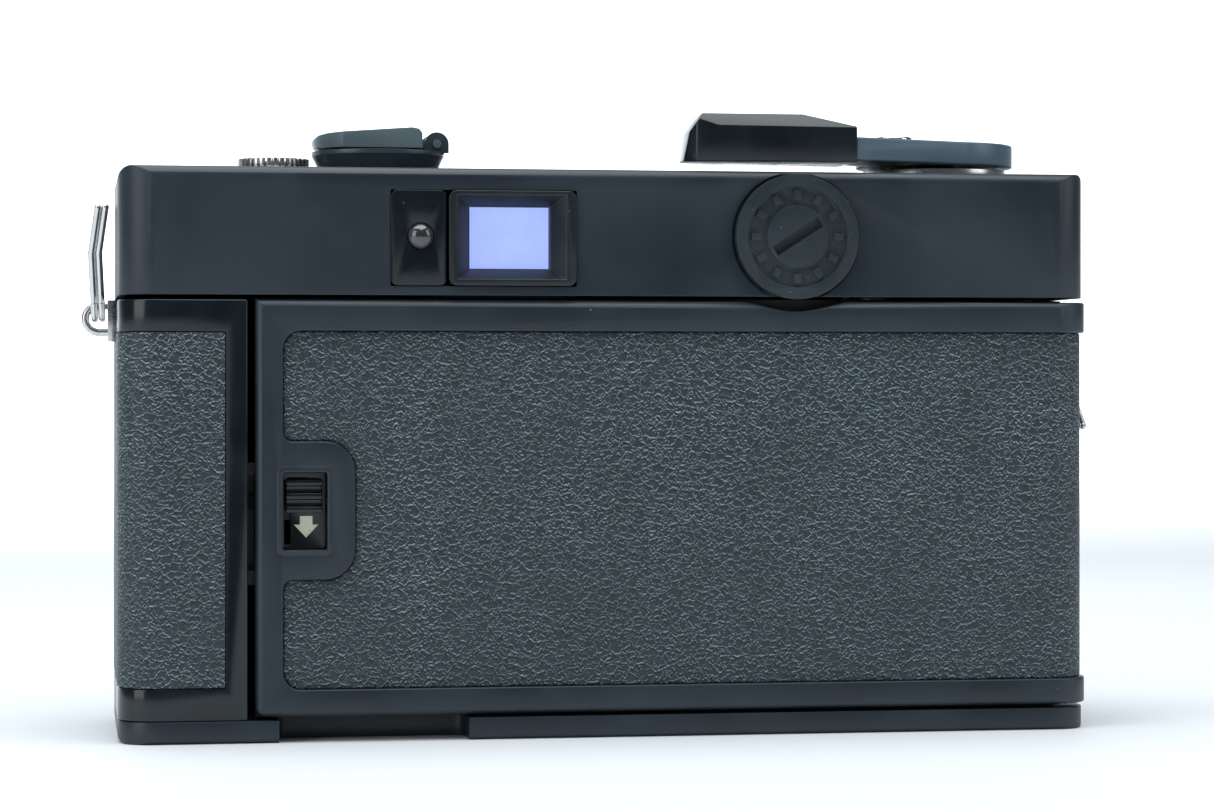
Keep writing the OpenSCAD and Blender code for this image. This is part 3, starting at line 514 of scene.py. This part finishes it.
FINISHES = {made.name: made for made in (
    SatinPaint("satin_black", (0.0105, 0.0195, 0.0285), 0.40),
    # Painted reflection: this blue-grey is much lighter than the lever's black paint and stands in for
    # overhead light reflected on its rounded edges.
    SatinPaint("lever_black", (0.085, 0.135, 0.172), 0.34, metallic=0.2),
    SatinPaint("plate_black", (0.014, 0.014, 0.015), 0.45),
    SatinPaint("blade_steel", (0.018, 0.018, 0.019), 0.4),
    # The third colour is a painted highlight for the ridges' upward-facing flanks, and the fourth is painted
    # shade for their downward-facing flanks.
    Leatherette("leatherette", (0.0180, 0.0320, 0.0390), (0.38, 0.50, 0.55), (0.002, 0.0025, 0.003)),
    Moulding("black_plastic", (0.004, 0.008, 0.011)),
    Moulding("eyepiece_black", (0.008, 0.014, 0.016), 0.30),
    # Painted reflection: the crank's lighter blue-grey stands in for overhead light reflected on its
    # upward-sloping scooped face, not the paint's own colour.
    SatinPaint("crank_satin", (0.105, 0.145, 0.165), 0.34),
    Moulding("cap_plastic", (0.013, 0.023, 0.029), 0.44, 0.22, 0.008, 0.30),
    Moulding("inner_plastic", (0.012, 0.012, 0.013), 0.5, 0.2, 0.006),
    Moulding("dial_white", (0.72, 0.71, 0.66), 0.4, 0.3, 0.002, 0.05),
    Moulding("seal_rubber", (0.008, 0.008, 0.008), 0.7, 0.15, 0.01),
    Moulding("board", (0.02, 0.10, 0.045), 0.35),
    Metal("casting", (0.045, 0.047, 0.05), 0.55, (1.0, 1.0, 1.0), 0.5, 0.01, 0.5),
    Metal("bright_steel", (0.66, 0.66, 0.65), 0.24),
    Metal("ring_steel", (0.72, 0.72, 0.71), 0.16, (1.0, 5.0, 1.0)),
    Metal("cell_steel", (0.70, 0.69, 0.66), 0.22),
    Metal("film_rail", (0.20, 0.20, 0.21), 0.3, (1.0, 1.0, 8.0)),
    Metal("knob_black", (0.070, 0.098, 0.115), 0.34, (1.0, 1.0, 6.0), 0.3, 0.003, 0.55),
    Metal("lens_black", (0.020, 0.021, 0.023), 0.33, (1.0, 6.0, 1.0), 0.3, 0.002, 0.5),
    Metal("gear_brass", (0.62, 0.46, 0.20), 0.3),
    Metal("sprocket_metal", (0.42, 0.42, 0.43), 0.35),
    Metal("button_chrome", (0.78, 0.78, 0.77), 0.12),
    # Painted light: the finder glass's lavender colour and its glow stand in for the bright backdrop seen
    # through the coated eyepiece, not the glass's own colour.
    CoatedGlass("finder_glass", (0.24, 0.29, 0.80), (0.29, 0.34, 0.86), (0.33, 0.42, 0.95), 0.95),
    CoatedGlass("front_glass", (0.05, 0.06, 0.12), (0.09, 0.08, 0.18), roughness=0.03),
    CoatedGlass("lamp_glass", (0.020, 0.021, 0.024), (0.05, 0.05, 0.055), roughness=0.06),
    CoatedGlass("prism_glass", (0.30, 0.34, 0.42), (0.4, 0.45, 0.5), alpha=0.5),
    CoatedGlass("lens_glass", (0.010, 0.012, 0.030), (0.03, 0.014, 0.045), roughness=0.02),
    CoatedGlass("counter_glass", (0.5, 0.52, 0.54), (0.6, 0.62, 0.64), alpha=0.35),
    Lacquer("arrow_cream", (0.93, 0.90, 0.70)),
    Lacquer("mark_white", (0.78, 0.78, 0.76)),
)}


# ---------- making pieces ----------


class Detail(Enum):
    """How finely a softened edge is divided."""

    FINE = 3
    COARSE = 2
    CHAMFER = 1


def slot_of(node: str) -> str:
    """The record's material slot of a CAD node."""
    for part in frame["record"]["subparts"]:
        if part["node"] == node:
            return part["material_slot"]
    raise KeyError(node)


@dataclass
class Workshop:
    """Makes materials once and turns bmeshes into finished pieces.

    Attributes:
        made: The materials made so far, by the finish's name.
        crisp_angle: Edges steeper than this many degrees stay crisp.
        piece_merge: How near a piece's vertices are when they are merged, in millimetres.
        node_merge: The same for the copy of a CAD node, before its edges are rounded.
        flat_angle: Faces that turn by fewer degrees than this are joined.
    """

    made: dict[str, bpy.types.Material] = field(default_factory=dict)
    crisp_angle: float = 32.0
    piece_merge: float = 0.0008
    node_merge: float = 0.002
    flat_angle: float = 0.6

    def material(self, finish: str) -> bpy.types.Material:
        """Returns the material of a finish, made the first time it is asked for."""
        if finish not in self.made:
            self.made[finish] = FINISHES[finish].build()
        return self.made[finish]

    def piece(self, shape: bmesh.types.BMesh, name: str, body: str, slot: str, finish: Optional[str] = None,
              stands_for: Sequence[str] = ()) -> None:
        """Finishes a shape as an object of its own.

        Args:
            shape: The shape, in the CAD's own frame, in metres. It is freed.
            name: The piece's name.
            body: The CAD body it rides on.
            slot: The record's material slot.
            finish: The finish, if it isn't the slot's own.
            stands_for: CAD nodes that it replaces.
        """
        bmesh.ops.remove_doubles(shape, verts=shape.verts[:], dist=self.piece_merge * MM)
        bmesh.ops.recalc_face_normals(shape, faces=shape.faces[:])
        mesh = bpy.data.meshes.new(name)
        shape.to_mesh(mesh)
        shape.free()
        for polygon in mesh.polygons:
            polygon.use_smooth = True
        mesh.set_sharp_from_angle(angle=math.radians(self.crisp_angle))
        mesh.materials.append(self.material(finish or slot))
        made = bpy.data.objects.new(name, mesh)
        bpy.context.scene.collection.objects.link(made)
        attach(made, body)
        if stands_for:
            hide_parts(*stands_for)
        LOG.info("%s on %s: %d faces", name, body, len(mesh.polygons))

    def softened(self, node: str, width: float, detail: Detail = Detail.FINE, steep: float = 34.0,
                 finish: Optional[str] = None, clamp: bool = True) -> None:
        """Replaces a CAD node by its own shape with rounded edges.

        Args:
            node: The CAD node.
            width: How far an edge is cut back, in millimetres.
            detail: How finely the rounding is divided.
            steep: Only edges that turn by more degrees than this are rounded.
            finish: The finish, if it isn't the slot's own.
            clamp: Whether the rounding is held back where it would overlap.
        """
        source = frame["nodes"][node]
        shape = bmesh.new()
        shape.from_mesh(source.data)
        bmesh.ops.remove_doubles(shape, verts=shape.verts[:], dist=self.node_merge * MM)
        bmesh.ops.dissolve_limit(shape, angle_limit=math.radians(self.flat_angle), verts=shape.verts[:],
                                 edges=shape.edges[:], use_dissolve_boundaries=False)
        limit = math.radians(steep)
        edges = [e for e in shape.edges if len(e.link_faces) == 2 and e.calc_face_angle(0.0) > limit]
        bmesh.ops.bevel(shape, geom=edges, affect="EDGES", offset=width * MM, offset_type="OFFSET",
                        segments=detail.value, profile=0.5, clamp_overlap=clamp, material=-1)
        self.piece(shape, f"{node}_soft", source["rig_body"], slot_of(node), finish, stands_for=(node,))


SHOP = Workshop()


def centre(node: str) -> Vector:
    """The middle of a CAD node's box."""
    low, high = (Vector(corner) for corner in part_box(node))
    return (low + high) / 2


def box_shape(shape: bmesh.types.BMesh, low: Sequence[float],
              high: Sequence[float]) -> list[bmesh.types.BMVert]:
    """Adds a box between two corners, in metres.

    Args:
        shape: The bmesh that it goes into.
        low: Lowest corner.
        high: Highest corner.

    Returns:
        The box's vertices.
    """
    size = Vector(high) - Vector(low)
    middle = (Vector(high) + Vector(low)) / 2
    matrix = Matrix.Translation(middle) @ Matrix.Diagonal((*size, 1.0))
    return bmesh.ops.create_cube(shape, size=1.0, matrix=matrix)["verts"]


def spun(shape: bmesh.types.BMesh, profile: Profile, at: Vector, axis: Vector, steps: int = 96) -> None:
    """Spins a closed outline about an axis.

    Args:
        shape: The bmesh that it goes into.
        profile: Corners as radius and distance along the axis, in millimetres.
        at: A point on the axis.
        axis: The axis.
        steps: How many steps a full turn has.
    """
    side = axis.orthogonal().normalized()
    ring = [shape.verts.new(at + side * (r * MM) + axis * (d * MM)) for r, d in profile]
    edges = [shape.edges.new((a, b)) for a, b in zip(ring, ring[1:] + ring[:1])]
    bmesh.ops.spin(shape, geom=ring + edges, cent=at, axis=axis, angle=2 * math.pi, steps=steps,
                   use_merge=True)


# ---------- sub-assemblies ----------


@dataclass
class CoverAndFinder:
    """The top cover with its eyepiece, lamp, window strip and collars."""

    cover_edge: float = 0.5
    eyepiece_edge: float = 0.1
    eyepiece_steep: float = 14.0
    lamp_edge: float = 0.08
    bezel_edge: float = 0.22
    glass_edge: float = 0.15
    collar_edge: float = 0.12
    tick_count: int = 24
    tick_half_width: float = 0.09
    tick_outer: float = 3.6
    long_tick_inner: float = 2.6
    short_tick_inner: float = 2.9
    tick_sunk: float = 0.04
    tick_proud: float = 0.02

    def build(self) -> None:
        """Softens the cover and everything let into it."""
        SHOP.softened("top_cover", self.cover_edge)
        SHOP.softened("eyepiece_frame", self.eyepiece_edge, steep=self.eyepiece_steep,
                      finish="eyepiece_black")
        SHOP.softened("lamp_plate", self.lamp_edge)
        SHOP.softened("window_bezel", self.bezel_edge)
        SHOP.softened("front_windows", self.glass_edge, finish="front_glass")
        SHOP.softened("top_collars", self.collar_edge)
        self.counter_ticks()

    def counter_ticks(self) -> None:
        """Prints the frame counter's ticks on its dial, every fourth one longer."""
        middle = centre("counter_dial")
        middle.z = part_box("counter_dial")[1][2]
        half = self.tick_half_width * MM
        shape = bmesh.new()
        for i in range(self.tick_count):
            inner = self.short_tick_inner if i % 4 else self.long_tick_inner
            verts = box_shape(shape, (inner * MM, -half, -self.tick_sunk * MM),
                              (self.tick_outer * MM, half, self.tick_proud * MM))
            turn = Matrix.Rotation(i * 2 * math.pi / self.tick_count, 3, "Z")
            bmesh.ops.rotate(shape, verts=verts, cent=(0, 0, 0), matrix=turn)
        bmesh.ops.translate(shape, verts=shape.verts[:], vec=middle)
        SHOP.piece(shape, "counter_ticks", "counter", "black_plastic")


@dataclass
class Shell:
    """The fixed body: base, front, grip end and their covering."""

    shell_edge: float = 0.15
    base_edge: float = 0.28
    screw_edge: float = 0.1
    grip_edge: float = 0.34
    covering_edge: float = 0.16
    lug_edge: float = 0.12
    gate_edge: float = 0.1
    pin_edge: float = 0.15
    socket_edge: float = 0.08
    seal_height: float = 1.0
    seal_gap: float = 0.5
    seal_sunk: float = 0.5
    seal_proud: float = 0.4
    seal_inset: float = 2.0
    seal_edge: float = 0.25

    def build(self) -> None:
        """Softens the shell's parts and lays the light seals."""
        SHOP.softened("front_shell", self.shell_edge)
        SHOP.softened("base_plate", self.base_edge)
        SHOP.softened("base_screws", self.screw_edge, Detail.CHAMFER)
        SHOP.softened("grip_frame", self.grip_edge)
        SHOP.softened("grip_leather", self.covering_edge)
        SHOP.softened("front_leather", self.covering_edge)
        SHOP.softened("strap_lugs", self.lug_edge, Detail.COARSE)
        SHOP.softened("film_gate", self.gate_edge, Detail.COARSE)
        SHOP.softened("hinge_pin", self.pin_edge, Detail.COARSE)
        SHOP.softened("sync_socket", self.socket_edge, Detail.COARSE)
        self.light_seals()

    def light_seals(self) -> None:
        """Lays foam strips in the corners of the film channel, above and below the film."""
        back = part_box("chassis")[1][1]
        low, high = (Vector(c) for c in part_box("film_gate"))
        height = self.seal_height * MM
        gap = self.seal_gap * MM
        for label, bottom in (("upper", high.z + gap), ("lower", low.z - gap - height)):
            shape = bmesh.new()
            box_shape(shape, (low.x + self.seal_inset * MM, back - self.seal_sunk * MM, bottom),
                      (high.x, back + self.seal_proud * MM, bottom + height))
            bmesh.ops.bevel(shape, geom=shape.edges[:], affect="EDGES", offset=self.seal_edge * MM,
                            offset_type="OFFSET", segments=3, profile=0.5, clamp_overlap=True, material=-1)
            SHOP.piece(shape, f"light_seal_{label}", "camera_body", "seal_rubber")


@dataclass
class FilmDoor:
    """The hinged door with its covering, latch and pressure plate."""

    rim_edge: float = 0.22
    covering_edge: float = 0.2
    latch_plate_edge: float = 0.05
    slider_edge: float = 0.14
    hook_edge: float = 0.1
    pressure_edge: float = 0.3
    spring_edge: float = 0.08
    lip_profile: Profile = ((0.02, -0.15), (0.05, 0.06), (0.22, 0.14), (0.50, 0.10), (0.78, -0.05))
    lip_corner: float = 0.25
    lip_steps: int = 6
    arrow_height: float = 2.4
    arrow_width: float = 2.7
    arrow_head: float = 0.60
    arrow_stem: float = 0.52
    arrow_gap: float = 0.4
    arrow_offset: float = 0.25
    arrow_sunk: float = 0.01
    arrow_proud: float = 0.03

    def build(self) -> None:
        """Softens the door's parts and paints the latch's arrow."""
        SHOP.softened("film_door", self.rim_edge, clamp=False)
        SHOP.softened("door_leather", self.covering_edge)
        SHOP.softened("latch_plate", self.latch_plate_edge, Detail.CHAMFER)
        SHOP.softened("latch_slider", self.slider_edge)
        SHOP.softened("latch_hook", self.hook_edge, Detail.CHAMFER)
        SHOP.softened("pressure_plate", self.pressure_edge)
        SHOP.softened("pressure_spring", self.spring_edge, Detail.CHAMFER)
        self.arrow()
        self.slot_lip()

    def lip_loop(self, shape: bmesh.types.BMesh, out: float, depth: float) -> list[bmesh.types.BMEdge]:
        """Draws one loop of the latch's lip, as a rectangle with round corners.

        Args:
            shape: The bmesh that it goes into.
            out: How far it stands out round the latch's plate, in millimetres.
            depth: How far it stands back from the door, in millimetres.

        Returns:
            The loop's edges.
        """
        low, high = (Vector(c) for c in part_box("latch_plate"))
        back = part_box("film_door")[1][1] + depth * MM
        inset = self.lip_corner * MM
        radius = inset + out * MM
        corners = ((high.x - inset, high.z - inset), (low.x + inset, high.z - inset),
                   (low.x + inset, low.z + inset), (high.x - inset, low.z + inset))
        loop = []
        for corner, (x, z) in enumerate(corners):
            for step in range(self.lip_steps + 1):
                turn = (corner + step / self.lip_steps) * math.pi / 2
                loop.append(shape.verts.new((x + radius * math.cos(turn), back, z + radius * math.sin(turn))))
        return [shape.edges.new((here, after)) for here, after in zip(loop, loop[1:] + loop[:1])]

    def slot_lip(self) -> None:
        """Presses a low rounded lip around the latch's opening."""
        shape = bmesh.new()
        loops = [self.lip_loop(shape, out, depth) for out, depth in self.lip_profile]
        for inner, outer in zip(loops, loops[1:]):
            bmesh.ops.bridge_loops(shape, edges=inner + outer)
        SHOP.piece(shape, "latch_lip", "door", "satin_black")

    def arrow(self) -> None:
        """Paints the arrow that says which way the latch slides."""
        low, high = (Vector(c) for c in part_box("latch_plate"))
        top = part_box("latch_slider")[0][2] - self.arrow_gap * MM
        middle = (low.x + high.x) / 2 - self.arrow_offset * MM
        half = self.arrow_width * MM / 2
        stem = half * self.arrow_stem
        tip = top - self.arrow_height * MM
        head = tip + self.arrow_height * MM * self.arrow_head
        back = high.y - self.arrow_sunk * MM
        outline = ((-stem, top), (stem, top), (stem, head), (half, head), (0.0, tip), (-half, head),
                   (-stem, head))
        shape = bmesh.new()
        face = shape.faces.new([shape.verts.new((middle + x, back, z)) for x, z in outline])
        grown = bmesh.ops.extrude_face_region(shape, geom=[face])
        moved = [v for v in grown["geom"] if isinstance(v, bmesh.types.BMVert)]
        bmesh.ops.translate(shape, verts=moved, vec=(0.0, (self.arrow_proud + self.arrow_sunk) * MM, 0.0))
        SHOP.piece(shape, "latch_arrow", "door", "dial_white", "arrow_cream")


@dataclass
class TopControls:
    """Winding lever, release, check button and rewind crank."""

    lever_edge: float = 0.3
    tip_edge: float = 0.8
    tip_steep: float = 12.0
    release_edge: float = 0.3
    check_edge: float = 0.08
    knob_edge: float = 0.22
    crank_edge: float = 0.25
    crank_steep: float = 30.0
    screw_profile: Profile = ((0.0, -0.4), (3.6, -0.4), (3.6, -0.1), (3.4, 0.12), (0.0, 0.2))

    def build(self) -> None:
        """Softens the controls and adds the lever's screw."""
        SHOP.softened("winding_lever", self.lever_edge)
        SHOP.softened("lever_tip", self.tip_edge, steep=self.tip_steep)
        SHOP.softened("release_button", self.release_edge)
        SHOP.softened("check_button", self.check_edge, Detail.COARSE)
        SHOP.softened("rewind_knob", self.knob_edge)
        # The crank's finish is a painted reflection of overhead light on its scooped face.
        SHOP.softened("rewind_crank", self.crank_edge, steep=self.crank_steep, finish="crank_satin")
        SHOP.softened("crank_knob", self.crank_edge)
        self.lever_screw()

    def lever_screw(self) -> None:
        """Sets a flat, slightly domed screw into the middle of the lever."""
        joint = next(j for j in frame["joints"] if j["name"] == "lever_turn")
        at = Vector(joint["pos_m"])
        at.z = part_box("winding_lever")[1][2]
        shape = bmesh.new()
        spun(shape, self.screw_profile, at, Vector((0, 0, 1)), 64)
        SHOP.piece(shape, "lever_screw", "winding_lever", "knob_black")


@dataclass
class BatteryDoor:
    """The coin-slot cap over the button cells."""

    cap_edge: float = 0.16
    gasket_edge: float = 0.1

    def build(self) -> None:
        """Softens the cap and its gasket."""
        SHOP.softened("battery_cap", self.cap_edge)
        SHOP.softened("battery_gasket", self.gasket_edge, Detail.COARSE)


@dataclass(frozen=True)
class IndexMarks:
    """A row of painted lines on a ring, with steps in degrees and sizes in millimetres."""

    ring: str
    count: int
    step: float
    length: float
    inset: float


@dataclass
class Lens:
    """Lens barrel, rings, front cell and self-timer lever."""

    barrel_edge: float = 0.2
    ring_edge: float = 0.16
    cell_edge: float = 0.3
    timer_edge: float = 0.3
    thread_count: int = 5
    thread_depth: float = 0.22
    thread_start: float = 0.75
    thread_pitch: float = 0.55
    thread_half: float = 0.24
    thread_seat: float = 0.05
    window_back: float = 4.75
    window_up: float = 16.6
    window_profile: Profile = ((0.0, 0.0), (2.3, 0.0), (2.3, 0.35), (1.5, 0.75), (0.0, 0.95))
    mark_half_width: float = 0.13
    mark_start: float = 0.25
    mark_sunk: float = 0.1
    mark_proud: float = 0.03
    marks: tuple[IndexMarks, ...] = (
        IndexMarks("aperture_ring", 9, 9.0, 1.1, 0.35),
        IndexMarks("focus_ring", 7, 12.0, 0.9, 0.4),
    )

    def build(self) -> None:
        """Softens the lens's parts and adds thread, window and index marks."""
        SHOP.softened("lens_barrel", self.barrel_edge)
        SHOP.softened("focus_ring", self.ring_edge, Detail.COARSE)
        SHOP.softened("aperture_ring", self.ring_edge, Detail.COARSE)
        SHOP.softened("lens_cell", self.cell_edge)
        SHOP.softened("self_timer_lever", self.timer_edge)
        self.filter_thread()
        self.meter_window()
        self.index_marks()

    def axis_point(self, y: float) -> Vector:
        """A point on the lens axis at a depth in metres."""
        middle = centre("lens_cell")
        return Vector((middle.x, y, middle.z))

    def filter_thread(self) -> None:
        """Cuts the look of a fine thread inside the front rim."""
        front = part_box("lens_cell")[0][1]
        mount = next(m for m in frame["record"]["mounts"] if m["name"] == "filter_thread")
        radius = mount["dims"]["r_mm"]
        profile = ((radius + self.thread_seat, -self.thread_half), (radius - self.thread_depth, 0.0),
                   (radius + self.thread_seat, self.thread_half))
        shape = bmesh.new()
        for i in range(self.thread_count):
            y = front + (self.thread_start + self.thread_pitch * i) * MM
            spun(shape, profile, self.axis_point(y), Vector((0, 1, 0)))
        SHOP.piece(shape, "filter_thread", "lens_cell", "lens_black")

    def meter_window(self) -> None:
        """Sets the exposure meter's little window above the front glass."""
        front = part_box("lens_cell")[0][1]
        middle = centre("lens_cell")
        at = Vector((middle.x, front + self.window_back * MM, middle.z + self.window_up * MM))
        shape = bmesh.new()
        spun(shape, self.window_profile, at, Vector((0, -1, 0)), 48)
        SHOP.piece(shape, "meter_window", "lens_cell", "lens_glass")

    def index_marks(self) -> None:
        """Paints index lines round the two rings."""
        middle = centre("lens_cell")
        half = self.mark_half_width * MM
        for row in self.marks:
            low, high = (Vector(c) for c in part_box(row.ring))
            base = (high.x - low.x) / 2 - row.inset * MM
            back = high.y - self.mark_start * MM
            shape = bmesh.new()
            for i in range(row.count):
                verts = box_shape(shape, (-half, back - row.length * MM, base - self.mark_sunk * MM),
                                  (half, back, base + self.mark_proud * MM))
                turn = Matrix.Rotation(math.radians((i - (row.count - 1) / 2) * row.step), 3, "Y")
                bmesh.ops.rotate(shape, verts=verts, cent=(0, 0, 0), matrix=turn)
            bmesh.ops.translate(shape, verts=shape.verts[:], vec=(middle.x, 0.0, middle.z))
            SHOP.piece(shape, f"{row.ring}_marks", row.ring, "dial_white", "mark_white")


@dataclass
class Studio:
    """Pale floor, soft lights and the camera that looks at the film door."""

    eye: Triple = (0.0701, 0.3832, 0.04025)
    heading: Triple = (-0.1616, -0.9869, 0.0)
    lens: float = 97.9
    lift: float = -0.0202
    floor_start: tuple[float, float] = (6.0, 3.0)
    floor_path: tuple[Triple, ...] = ((0.0, -4.0, 0.0), (0.0, -0.6, 0.18), (0.0, -0.4, 0.5),
                                      (0.0, -0.15, 0.8), (0.0, -0.02, 3.0))
    floor_colour: Colour = (0.86, 0.89, 0.92)
    sky_colour: Colour = (0.86, 0.92, 1.0)
    sky_strength: float = 0.10

    def build(self) -> None:
        """Sets up everything that isn't the camera being modelled."""
        self.floor()
        self.lights()
        self.view()

    def floor(self) -> None:
        """Lays a wide pale floor with a wall that curves up far behind."""
        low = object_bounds()[0][2]
        shape = bmesh.new()
        half, near = self.floor_start
        edge = shape.edges.new((shape.verts.new((-half, near, low)), shape.verts.new((half, near, low))))
        for step in self.floor_path:
            grown = bmesh.ops.extrude_edge_only(shape, edges=[edge])
            moved = [v for v in grown["geom"] if isinstance(v, bmesh.types.BMVert)]
            edge = next(e for e in grown["geom"] if isinstance(e, bmesh.types.BMEdge)
                        and all(v in moved for v in e.verts))
            bmesh.ops.translate(shape, verts=moved, vec=step)
        bmesh.ops.recalc_face_normals(shape, faces=shape.faces[:])
        mesh = bpy.data.meshes.new("studio_floor")
        shape.to_mesh(mesh)
        shape.free()
        for polygon in mesh.polygons:
            polygon.use_smooth = True
        graph = Graph("studio_floor")
        tone = graph.noise(400.0, 2.0)
        lighter = tuple(min(1.0, c * 1.03) for c in self.floor_colour)
        mesh.materials.append(graph.finish(
            Base_Color=graph.blend(self.floor_colour, lighter, tone), Roughness=0.6, Specular_IOR_Level=0.25))
        made = bpy.data.objects.new("studio_floor", mesh)
        bpy.context.scene.collection.objects.link(made)
        made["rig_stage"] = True

    def softbox(self, name: str, at: Sequence[float], towards: Sequence[float], size: Sequence[float],
                power: float, colour: Colour = (0.94, 0.98, 1.0)) -> None:
        """Hangs one rectangular soft light.

        Args:
            name: Its name.
            at: Where it hangs, in metres.
            towards: The point it is aimed at.
            size: Width and height in metres.
            power: Watts.
            colour: Its tint.
        """
        data = bpy.data.lights.new(name, "AREA")
        data.shape = "RECTANGLE"
        data.size, data.size_y = size
        data.energy = power
        data.color = colour
        lamp = bpy.data.objects.new(name, data)
        lamp.location = at
        lamp.rotation_euler = (Vector(towards) - Vector(at)).to_track_quat("-Z", "Y").to_euler()
        bpy.context.scene.collection.objects.link(lamp)

    def lights(self) -> None:
        """Lights the set softly from above and from both sides."""
        world = bpy.data.worlds.new("studio")
        bpy.context.scene.world = world
        world.use_nodes = True
        sky = world.node_tree.nodes["Background"]
        sky.inputs["Color"].default_value = (*self.sky_colour, 1.0)
        sky.inputs["Strength"].default_value = self.sky_strength
        target = (0.01, 0.0, 0.035)
        self.softbox("overhead", (0.05, 0.05, 0.75), target, (0.9, 0.7), 7.5)
        self.softbox("left_bank", (0.75, 0.45, 0.35), target, (0.5, 0.7), 2.4)
        self.softbox("right_bank", (-0.70, 0.35, 0.40), target, (0.4, 0.6), 1.3)
        self.softbox("backdrop", (0.0, -0.9, 0.9), (0.0, -2.0, 0.2), (1.6, 0.8), 34.0)

    def view(self) -> None:
        """Sets the camera at eye level with the film door, a little to its left."""
        data = bpy.data.cameras.new("view")
        data.lens = self.lens
        data.sensor_width = 36.0
        data.shift_y = self.lift
        data.clip_start = 0.01
        made = bpy.data.objects.new("view", data)
        made.location = self.eye
        made.rotation_euler = Vector(self.heading).to_track_quat("-Z", "Y").to_euler()
        bpy.context.scene.collection.objects.link(made)
        bpy.context.scene.camera = made
        bpy.context.scene.view_settings.view_transform = "Standard"


@dataclass
class Dressing:
    """Gives every CAD node that still shows the finish of its slot."""

    def build(self) -> None:
        """Assigns the materials."""
        for name, node in frame["nodes"].items():
            material = SHOP.material(slot_of(name))
            node.data.materials.clear()
            node.data.materials.append(material)
            LOG.info("%s wears %s", name, material.name)


def main() -> None:
    """Builds the scene, piece by piece."""
    logging.basicConfig(level=logging.INFO, format="%(name)s: %(message)s")
    for part in (Dressing(), Shell(), CoverAndFinder(), FilmDoor(), TopControls(), BatteryDoor(), Lens(),
                 Studio()):
        part.build()
        LOG.info("%s done", type(part).__name__)


if __name__ == "__main__":
    main()
